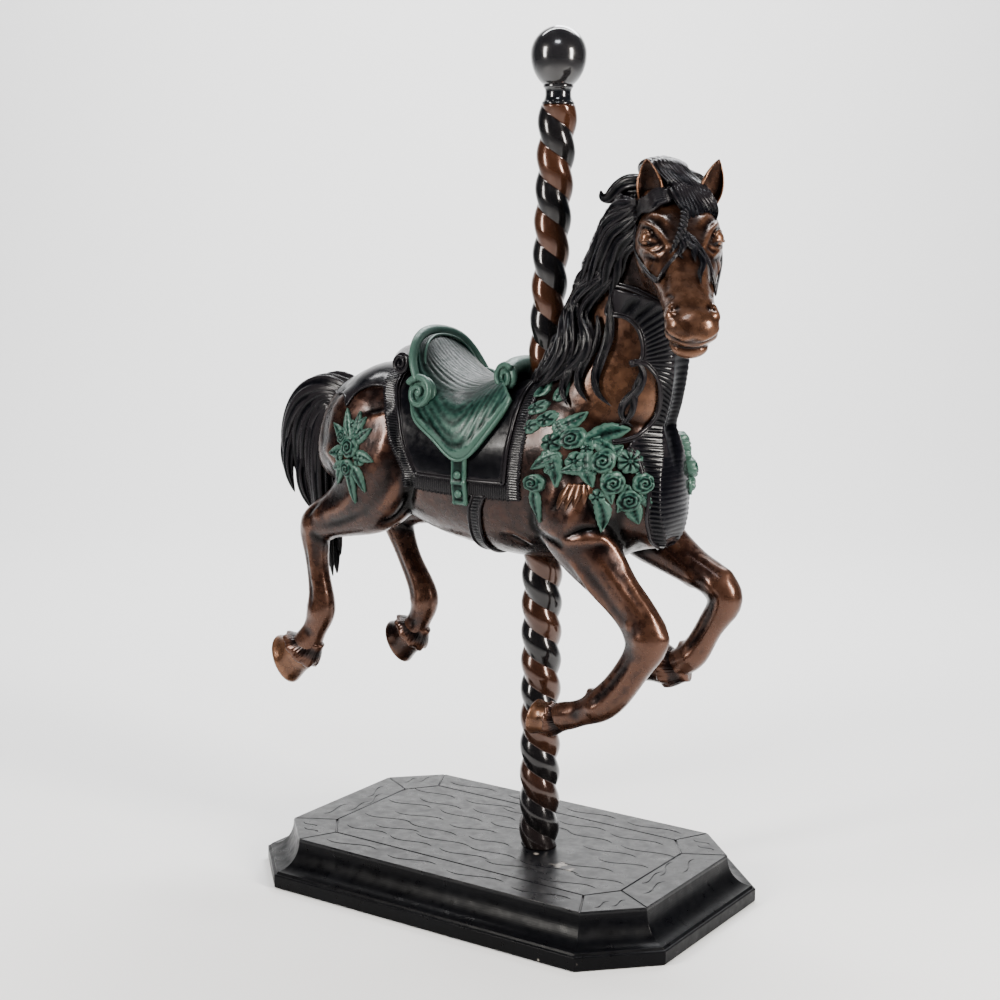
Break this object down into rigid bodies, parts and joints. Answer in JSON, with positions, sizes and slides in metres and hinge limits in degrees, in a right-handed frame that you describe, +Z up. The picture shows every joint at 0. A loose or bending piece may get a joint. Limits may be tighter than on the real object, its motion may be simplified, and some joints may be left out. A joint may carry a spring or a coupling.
{
  "type": "carousel horse figure",
  "caption": "Cast carousel horse with turned head, saddle and flowers, held mid-stride on a twisted pole with a ball finial over a cut-cornered stepped base.",
  "frame": {"origin": "middle of the base's flat underside", "axes": "+X the way the horse's body faces, +Y its left side, +Z up along the pole"},
  "size_m": [1.2282, 0.662, 1.83],
  "materials": {
    "brown_bronze": "glossy dark brown patina rubbed back to copper on the high places",
    "black_bronze": "waxed black patina with engraved lines, pale where chipped",
    "pole_bronze": "one copper strand and one near-black strand, polished",
    "finial_bronze": "high gloss black patina"
  },
  "bodies": {
    "root": {"base": "black_bronze", "pole_lower": "pole_bronze", "pole_upper": "pole_bronze", "finial": "finial_bronze", "horse": "brown_bronze"}
  },
  "joints": []
}
